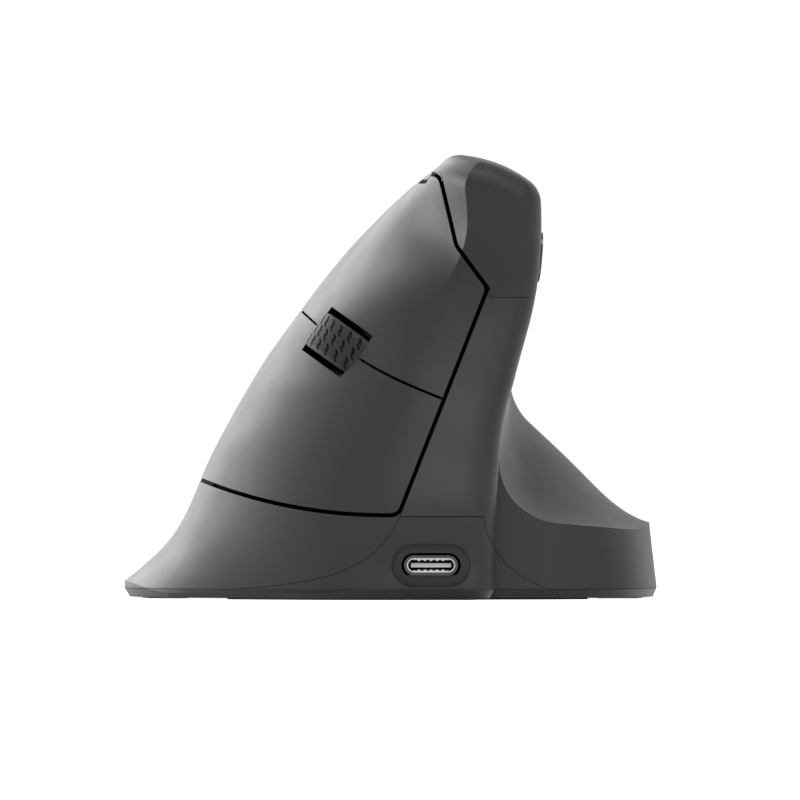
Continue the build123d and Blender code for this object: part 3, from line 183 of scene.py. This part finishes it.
def circuit(name):
    """Green solder mask with faint tracks beneath it."""
    material, tree, shader, coords = new_material(name)
    tracks = tree.nodes.new("ShaderNodeTexBrick")
    tracks.inputs["Scale"].default_value = TRACKS
    tracks.inputs["Color1"].default_value = (0.010, 0.075, 0.030, 1)
    tracks.inputs["Color2"].default_value = (0.014, 0.100, 0.040, 1)
    tracks.inputs["Mortar"].default_value = (0.022, 0.140, 0.060, 1)
    tree.links.new(coords.outputs["Object"], tracks.inputs["Vector"])
    tree.links.new(tracks.outputs["Color"], shader.inputs["Base Color"])
    gloss = noise(tree, coords, MASK_PATCHES)
    tree.links.new(ranged(tree, gloss, 0.25, 0.4), shader.inputs["Roughness"])
    bump(tree, [(tracks.outputs["Fac"], 0.15, TRACK_DEPTH)], shader)
    return material


def clear(name, colour):
    """Clear moulded plastic for a lens."""
    material, tree, shader, coords = new_material(name)
    tones = [(TONE_LOW, scaled(colour, 0.96)), (TONE_HIGH, colour)]
    tree.links.new(ramp(tree, noise(tree, coords, LENS_CLOUDS), tones), shader.inputs["Base Color"])
    gloss = noise(tree, coords, LENS_PATCHES)
    tree.links.new(ranged(tree, gloss, 0.02, 0.1), shader.inputs["Roughness"])
    shader.inputs["Transmission Weight"].default_value = 1.0
    shader.inputs["IOR"].default_value = 1.49
    bump(tree, [(noise(tree, coords, LENS_RIPPLES), 0.03, LENS_DEPTH)], shader)
    return material


# Where the light tip of the port's tongue ends along the length, and how high the painted shade
# along the bottom of the base reaches
TONGUE_TIP, BASE_SHADE_BAND = -52.6 * MM, 1.9 * MM
MATERIALS = {
    "shell_plastic": moulded("shell_plastic", (0.0225, 0.0225, 0.0228)),
    "cap_plastic": moulded("cap_plastic", (0.018, 0.018, 0.0182)),
    "panel_plastic": moulded("panel_plastic", (0.020, 0.020, 0.0202)),
    # The base is painted near-black below that height: painted shade for the contact shadow under
    # the mouse
    "base_plastic": based("base_plastic", (0.0225, 0.0225, 0.0228), (0.003, 0.003, 0.003),
                          BASE_SHADE_BAND),
    "button_plastic": moulded("button_plastic", (0.008, 0.008, 0.0081), rough=(0.12, 0.2),
                              strength=0.03, specular=0.6),
    "tyre_rubber": moulded("tyre_rubber", (0.017, 0.017, 0.0171), rough=(0.5, 0.66), grain=3200,
                           strength=0.2),
    "wheel_plastic": moulded("wheel_plastic", (0.012, 0.012, 0.0122)),
    "frame_plastic": moulded("frame_plastic", (0.010, 0.010, 0.0102), rough=(0.5, 0.65)),
    "steel": metal("steel", (0.58, 0.58, 0.60)),
    "port_metal": metal("port_metal", (0.07, 0.07, 0.072)),
    "spring_metal": metal("spring_metal", (0.50, 0.50, 0.51), rough=(0.4, 0.55)),
    # Near-black matte look of the blades in the gaps: painted shade, standing in for the shade
    # inside the gaps
    "painted_gap_shade": moulded("painted_gap_shade", (0.002, 0.002, 0.002), rough=(0.8, 0.9), strength=0.02,
                         specular=0.03),
    "port_insert": based("port_insert", (0.012, 0.012, 0.0122), (0.80, 0.80, 0.79), TONGUE_TIP,
                         "Y"),
    "circuit_board": circuit("circuit_board"),
    "switch_black": moulded("switch_black", (0.015, 0.015, 0.016), rough=(0.3, 0.45)),
    "switch_white": moulded("switch_white", (0.62, 0.61, 0.57), rough=(0.35, 0.5), mottle=0.03),
    "sensor_black": moulded("sensor_black", (0.012, 0.012, 0.013), rough=(0.15, 0.25)),
    "lens_clear": clear("lens_clear", (0.92, 0.95, 0.97)),
    "battery_wrap": metal("battery_wrap", (0.50, 0.51, 0.53), rough=(0.3, 0.45)),
    "glide_film": moulded("glide_film", (0.014, 0.014, 0.0145), rough=(0.25, 0.35), strength=0.04),
    "slider_plastic": moulded("slider_plastic", (0.075, 0.075, 0.077)),
}
slots = {entry["node"]: entry["material_slot"] for entry in frame["record"]["subparts"]}
for name, node in nodes.items():
    node.data.materials.clear()
    node.data.materials.append(MATERIALS[slots[name]])


# Tyre tread: S-shaped sipes in rows round the wheel
turn = joints["wheel_turn"]
AXLE = Vector(turn["axis"]).normalized()
HUB = Vector(turn["pos_m"])
ROUND = AXLE.orthogonal().normalized()
SIDEWAYS = AXLE.cross(ROUND)
TYRE_RADIUS, BORE_RADIUS, TYRE_WIDTH = 9.8 * MM, 7.5 * MM, 6.6 * MM
SHOULDER, SIPE_DEPTH, SIPE_WIDTH = 0.9 * MM, 0.6 * MM, 0.5 * MM
SIPES, ROWS, AROUND, ACROSS = 28, 3, 728, 72
ROW = 1.95 * MM
SIPE_JOG, SIPE_JOG_SHARPNESS, SIPE_LEAN = 0.30 * MM, 9, 1.8 * MM
SIPE_ENDS, SIPE_EDGES = (0.40, 0.47), (0.32, 0.68)
SIDE_WALL_DROP, SHOULDER_STEPS = 1.6, 6


def smooth(edge0, edge1, value):
    """Soft step from 0 at one edge to 1 at the other."""
    t = min(1.0, max(0.0, (value - edge0) / (edge1 - edge0)))
    return t * t * (3 - 2 * t)


def sipe(angle, y):
    """How deep the tread is cut at an angle round the wheel and a place across it, from 0 to 1."""
    row = round(y / ROW)
    if abs(row) > ROWS // 2:
        return 0.0
    t = (y - row * ROW) / ROW
    bend = SIPE_JOG * math.tanh(SIPE_JOG_SHARPNESS * t) - SIPE_LEAN * t
    arc = angle * TYRE_RADIUS - bend
    pitch = 2 * math.pi * TYRE_RADIUS / SIPES
    off = abs((arc + pitch / 2) % pitch - pitch / 2)
    along = 1 - smooth(*SIPE_ENDS, abs(t))
    low, high = (SIPE_WIDTH * share for share in SIPE_EDGES)
    return along * (1 - smooth(low, high, off))


def tyre_profile():
    """Places across the tyre and their radii, from one bore edge over the tread to the other."""
    half = TYRE_WIDTH / 2
    rows = [(-half, BORE_RADIUS), (-half, TYRE_RADIUS - SIDE_WALL_DROP * SHOULDER)]
    for step in range(SHOULDER_STEPS + 1):
        angle = math.pi / 2 * step / SHOULDER_STEPS
        rows.append((-half + SHOULDER * (1 - math.cos(angle)),
                     TYRE_RADIUS - SHOULDER * (1 - math.sin(angle))))
    one_side = len(rows)
    flat = half - SHOULDER
    for step in range(1, ACROSS):
        rows.append((-flat + 2 * flat * step / ACROSS, TYRE_RADIUS))
    return rows + [(-y, r) for y, r in reversed(rows[:one_side])]


def tyre_mesh():
    """The whole tyre, its profile turned round the axle and cut by the sipes."""
    mesh = bmesh.new()
    rings = []
    profile = tyre_profile()
    for i in range(AROUND):
        angle = 2 * math.pi * i / AROUND
        way = ROUND * math.cos(angle) + SIDEWAYS * math.sin(angle)
        ring = []
        for y, radius in profile:
            if radius > TYRE_RADIUS - SHOULDER / 2:
                radius = radius - SIPE_DEPTH * sipe(angle, y)
            ring.append(mesh.verts.new(HUB + AXLE * y + way * radius))
        rings.append(ring)
    count = len(profile)
    for i in range(AROUND):
        a, b = rings[i], rings[(i + 1) % AROUND]
        for j in range(count):
            k = (j + 1) % count
            mesh.faces.new((a[j], b[j], b[k], a[k]))
    bmesh.ops.recalc_face_normals(mesh, faces=mesh.faces)
    data = bpy.data.meshes.new("tyre_tread")
    mesh.to_mesh(data)
    mesh.free()
    return data


def add_piece(name, data, body, slot, replaced=(), look=None):
    """Piece of the scene on a body, with a slot's material or another look."""
    piece = bpy.data.objects.new(name, data)
    bpy.context.collection.objects.link(piece)
    data.materials.append(MATERIALS[look or slot])
    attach(piece, body)
    if replaced:
        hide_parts(*replaced)
    return piece


def shade_smooth(piece, angle=35):
    """Smooth shading, with edges sharper than an angle in degrees left crisp."""
    for polygon in piece.data.polygons:
        polygon.use_smooth = True
    piece.data.set_sharp_from_angle(angle=math.radians(angle))


shade_smooth(add_piece("tyre_tread", tyre_mesh(), "wheel", "tyre_rubber", ["wheel_tyre"]), 50)


# Dark blades in the gaps: painted shade, near-black sheets that stand in for the shade inside the
# gaps and keep the background from showing through
# Corners of the click panels' right-hand edge as seen from the front, across and up
SHOULDER_TOP, SHOULDER_BEND = (8.62 * MM, 70.1 * MM), (11.16 * MM, 59.22 * MM)
ELBOW, FOOT = (16.47 * MM, 52.01 * MM), (1.44 * MM, 13.82 * MM)
BLADE_OUT, BLADE_IN, BLADE_THICK = 1.2 * MM, 1.6 * MM, 0.6 * MM
BLADE_DEPTH_OUT, BLADE_DEPTH_IN = 2.4 * MM, 3.0 * MM
EDGE_BLADE_STEP, LEAST_FACING = 0.8 * MM, 0.3
# The rays that look for the surface start out here, in metres
FRONT_RAYS_FROM, SIDE_RAYS_FROM = -0.2, 0.2


def skin_tree(names):
    """Search tree over the outer pieces, to find where their surface lies."""
    points, faces = [], []
    for name in names:
        node = nodes[name]
        start = len(points)
        points += [node.matrix_world @ vertex.co for vertex in node.data.vertices]
        faces += [[start + index for index in face.vertices] for face in node.data.polygons]
    return BVHTree.FromPolygons(points, faces)


SKIN = skin_tree(["palm_shell", "thumb_shell", "top_cap", "primary_button", "secondary_button"])


def behind_surface(x, z, depth):
    """Point behind the surface seen from the front at x and z, its depth square to the surface."""
    hit, normal, _, _ = SKIN.ray_cast(Vector((x, FRONT_RAYS_FROM, z)), Vector((0, 1, 0)))
    if hit is None:
        return None
    return hit + Vector((0, depth / max(LEAST_FACING, abs(normal.y)), 0))


def strip_mesh(name, rails, ring=False):
    """Band over rows of four corners, closed at its ends or joined to a ring."""
    mesh = bmesh.new()
    rows = [[mesh.verts.new(corner) for corner in row] for row in rails]
    if ring:
        rows.append(rows[0])
    else:
        mesh.faces.new(rows[0])
        mesh.faces.new(rows[-1])
    for a, b in zip(rows, rows[1:]):
        for j in range(4):
            mesh.faces.new((a[j], b[j], b[(j + 1) % 4], a[(j + 1) % 4]))
    bmesh.ops.recalc_face_normals(mesh, faces=mesh.faces)
    data = bpy.data.meshes.new(name)
    mesh.to_mesh(data)
    mesh.free()
    return data


def edge_places(stops, step):
    """Places along a line seen from the front, each with the direction square to the line."""
    places = []
    for (x0, z0), (x1, z1) in zip(stops, stops[1:]):
        long = math.hypot(x1 - x0, z1 - z0)
        side = ((z0 - z1) / long, (x1 - x0) / long)
        count = int(long / step)
        places += [(x0 + (x1 - x0) * i / count, z0 + (z1 - z0) * i / count, side)
                   for i in range(count)]
    return places


def edge_lip():
    """Blade behind the gap along the click panels' right-hand edge."""
    rails = []
    for x, z, side in edge_places([SHOULDER_TOP, SHOULDER_BEND, ELBOW, FOOT], EDGE_BLADE_STEP):
        outer = behind_surface(x + side[0] * BLADE_OUT, z + side[1] * BLADE_OUT, BLADE_DEPTH_OUT)
        inner = behind_surface(x - side[0] * BLADE_IN, z - side[1] * BLADE_IN, BLADE_DEPTH_IN)
        if outer is None or inner is None:
            continue
        thick = Vector((0, BLADE_THICK, 0))
        rails.append([outer, inner, inner + thick, outer + thick])
    return strip_mesh("edge_lip", rails)


def flank_shade_blade(name, side, level, beside, blade, ends):
    """Blade almost flush in a gap over one flank of the hull. level gives the height of the
    casing's edge at a place x. From there, beside has the two levels next to the gap where the skin
    is found, and blade the blade's own lower and upper level. ends are its places along the length.
    """
    def skin_at(y, rise):
        x = side * BLADE_START
        for _ in range(BLADE_ROUNDS):
            start = Vector((side * SIDE_RAYS_FROM, y, level(x) + rise))
            hit = SKIN.ray_cast(start, Vector((-side, 0, 0)))[0]
            if hit is None:
                return None
            x = hit.x
        return Vector((x - side * BLADE_FLUSH, y, level(x) + rise))

    rails = []
    steps = round((ends[1] - ends[0]) / BLADE_STEP)
    for i in range(steps + 1):
        y = ends[0] + (ends[1] - ends[0]) * i / steps
        low, high = (skin_at(y, rise) for rise in beside)
        if low is None or high is None:
            continue
        outer = [low.lerp(high, (rise - beside[0]) / (beside[1] - beside[0])) for rise in blade]
        into = Vector((-side * BLADE_DEEP, 0, level(low.x - side * BLADE_DEEP) - level(low.x)))
        rails.append([outer[0], outer[1], outer[1] + into, outer[0] + into])
    return strip_mesh(name, rails)


def hem_level(x):
    """Height of the casing's edge below the click panels, at a place across."""
    (x0, z0), (x1, z1), (x2, z2) = HEM
    part = (x - x0) / (x2 - x0)
    middle = (x1 - x0) / (x2 - x0)
    bow = (z1 - z0 - (z2 - z0) * middle) / (middle * (1 - middle))
    return z0 + (z2 - z0) * part + bow * part * (1 - part)


BLADE_STEP, BLADE_FLUSH, BLADE_DEEP = 0.5 * MM, 0.1 * MM, 2.2 * MM
BLADE_START, BLADE_ROUNDS = 20 * MM, 6
HEM = [(1.44 * MM, 13.82 * MM), (-16.02 * MM, 15.09 * MM), (-39.96 * MM, 23.05 * MM)]
CAP_LEVEL, CREST_LEVEL, CREST_STEP = 50.45 * MM, 71.515 * MM, 1.2 * MM
STEP_PLACE = -26.32 * MM
CREST_BESIDE, CREST_BLADE = (-0.85 * MM, 0.15 * MM), (-0.6 * MM, 0.1 * MM)
SHADE_BLADES = {
    "edge_lip": edge_lip(),
    "cap_seam_lip": flank_shade_blade("cap_seam_lip", 1, lambda x: CAP_LEVEL, (-0.4 * MM, 0.4 * MM),
                              (-0.3 * MM, 0.3 * MM), (-0.040, 0.0125)),
    "crest_lip": flank_shade_blade("crest_lip", -1, lambda x: CREST_LEVEL - CREST_STEP, CREST_BESIDE,
                           CREST_BLADE, (STEP_PLACE, -0.008)),
    "crest_front_lip": flank_shade_blade("crest_front_lip", -1, lambda x: CREST_LEVEL, CREST_BESIDE,
                                 CREST_BLADE, (-0.031, STEP_PLACE - 0.4 * MM)),
    "hem_lip": flank_shade_blade("hem_lip", -1, hem_level, (-0.15 * MM, 0.95 * MM), (-0.2 * MM, 0.5 * MM),
                         (-0.030, 0.020)),
}
# Each blade gets the near-black look: painted shade in the gaps
for name, data in SHADE_BLADES.items():
    shade_smooth(add_piece(name, data, "case", "frame_plastic", look="painted_gap_shade"))


def spring_ring():
    """Ring of contact springs inside the port's shell, its inner edge a zigzag by the tongue."""
    places = []
    for i in range(SPRING_STEPS):
        x = SPRING_STRAIGHT * (1 - 2 * i / SPRING_STEPS)
        tooth = abs((x / SPRING_PITCH) % 1 - 0.5) * 2 * SPRING_TOOTH
        places.append((x, 0.0, tooth))
    for i in range(SPRING_STEPS // 2):
        places.append((-SPRING_STRAIGHT, math.pi * i / (SPRING_STEPS // 2), 0.0))
    rails = []
    for turned in (1, -1):
        for x, angle, tooth in places:
            out = Vector((-math.sin(angle), 0, math.cos(angle))) * turned
            inner = SPRING_INNER - tooth
            corners = ((SPRING_OUTER, SPRING_FRONT), (SPRING_OUTER, SPRING_BACK),
                       (inner, SPRING_BACK), (inner, SPRING_FRONT))
            rails.append([Vector((PORT_X + x * turned, y, PORT_UP)) + out * radius
                          for radius, y in corners])
    return strip_mesh("port_springs", rails, ring=True)


PORT_X, PORT_UP = 6.6 * MM, 5.8 * MM
SPRING_FRONT, SPRING_BACK = -53.25 * MM, -52.75 * MM
SPRING_OUTER, SPRING_INNER = 1.22 * MM, 0.98 * MM
SPRING_STRAIGHT, SPRING_STEPS = 2.84 * MM, 96
SPRING_PITCH, SPRING_TOOTH = 1.0 * MM, 0.30 * MM
shade_smooth(add_piece("port_springs", spring_ring(), "case", "port_metal", look="spring_metal"))


# Stage, light and camera
FLOOR_REACH, FLOOR_TONE, FLOOR_GLOW = 60, 0.86, 0.915
WORLD_DIM = 0.105


def sees_white(tree):
    """Socket that is 1 for camera, glossy and transmission rays, which meet the background."""
    path = tree.nodes.new("ShaderNodeLightPath")
    total = path.outputs["Is Camera Ray"]
    for ray in ("Is Glossy Ray", "Is Transmission Ray"):
        add = tree.nodes.new("ShaderNodeMath")
        add.operation = "ADD"
        add.use_clamp = True
        tree.links.new(total, add.inputs[0])
        tree.links.new(path.outputs[ray], add.inputs[1])
        total = add.outputs["Value"]
    return total


def floor_material():
    """Pale floor that looks white beside the object and keeps its shadow."""
    material = bpy.data.materials.new("stage_floor")
    material.use_nodes = True
    tree = material.node_tree
    tree.nodes.clear()
    output = tree.nodes.new("ShaderNodeOutputMaterial")
    diffuse = tree.nodes.new("ShaderNodeBsdfDiffuse")
    diffuse.inputs["Color"].default_value = (FLOOR_TONE, FLOOR_TONE, FLOOR_TONE, 1)
    glow = tree.nodes.new("ShaderNodeEmission")
    glow.inputs["Strength"].default_value = FLOOR_GLOW
    both = tree.nodes.new("ShaderNodeAddShader")
    mix = tree.nodes.new("ShaderNodeMixShader")
    tree.links.new(diffuse.outputs["BSDF"], both.inputs[0])
    tree.links.new(glow.outputs["Emission"], both.inputs[1])
    tree.links.new(sees_white(tree), mix.inputs["Fac"])
    tree.links.new(diffuse.outputs["BSDF"], mix.inputs[1])
    tree.links.new(both.outputs["Shader"], mix.inputs[2])
    tree.links.new(mix.outputs["Shader"], output.inputs["Surface"])
    return material


floor_mesh = bpy.data.meshes.new("stage_floor")
corners = [(x * FLOOR_REACH, y * FLOOR_REACH, 0) for x, y in ((-1, -1), (1, -1), (1, 1), (-1, 1))]
floor_mesh.from_pydata(corners, [], [(0, 1, 2, 3)])
floor_mesh.materials.append(floor_material())
floor = bpy.data.objects.new("stage_floor", floor_mesh)
bpy.context.collection.objects.link(floor)

world = bpy.data.worlds.new("studio")
bpy.context.scene.world = world
world.use_nodes = True
tree = world.node_tree
tree.nodes.clear()
output = tree.nodes.new("ShaderNodeOutputWorld")
white = tree.nodes.new("ShaderNodeBackground")
white.inputs["Color"].default_value = (1, 1, 1, 1)
dim = tree.nodes.new("ShaderNodeBackground")
dim.inputs["Color"].default_value = (WORLD_DIM, WORLD_DIM, WORLD_DIM, 1)
mix = tree.nodes.new("ShaderNodeMixShader")
tree.links.new(sees_white(tree), mix.inputs["Fac"])
tree.links.new(dim.outputs["Background"], mix.inputs[1])
tree.links.new(white.outputs["Background"], mix.inputs[2])
tree.links.new(mix.outputs["Shader"], output.inputs["Surface"])


def softbox(name, place, size, power):
    """Square softbox, turned to the middle of the object."""
    data = bpy.data.lights.new(name, "AREA")
    data.shape = "RECTANGLE"
    data.size = data.size_y = size
    data.energy = power
    light = bpy.data.objects.new(name, data)
    bpy.context.collection.objects.link(light)
    light.location = place
    light.rotation_mode = "QUATERNION"
    light.rotation_quaternion = (LIT_PLACE - Vector(place)).to_track_quat("-Z", "Y")


LIT_PLACE = Vector((0, 0, 0.04))
# Place in metres, size in metres and power in watts
SOFTBOXES = {
    "behind_left": ((-1.0, 1.6, 0.6), 1.2, 12.3),
    "behind_high": ((-0.8, 1.9, 1.1), 0.8, 8.1),
    "left_high": ((-1.2, 1.2, 1.4), 0.8, 3.2),
    "left_low": ((-1.7, 0.6, 0.25), 0.8, 23.0),
    "top_front": ((0.1, -0.9, 1.5), 1.0, 17.5),
    "right_front": ((1.2, -1.2, 0.8), 1.0, 5.0),
}
for name, (place, size, power) in SOFTBOXES.items():
    softbox(name, place, size, power)

# The camera sees the photograph's frame, PIXELS wide, at SCALE pixels to the millimetre
PIXELS, SCALE = 800, 5.93
CENTRE_X, CENTRE_Z = 1.43 * MM, 33.3 * MM
DISTANCE = 4.0
camera_data = bpy.data.cameras.new("camera")
camera_data.type = "PERSP"
camera_data.lens = camera_data.sensor_width * DISTANCE / (PIXELS / SCALE * MM)
camera_data.clip_start, camera_data.clip_end = 0.05, 200
camera = bpy.data.objects.new("camera", camera_data)
bpy.context.collection.objects.link(camera)
camera.location = (CENTRE_X, -DISTANCE, CENTRE_Z)
camera.rotation_euler = (math.radians(90), 0, 0)
bpy.context.scene.camera = camera

bpy.context.scene.view_settings.view_transform = "Standard"
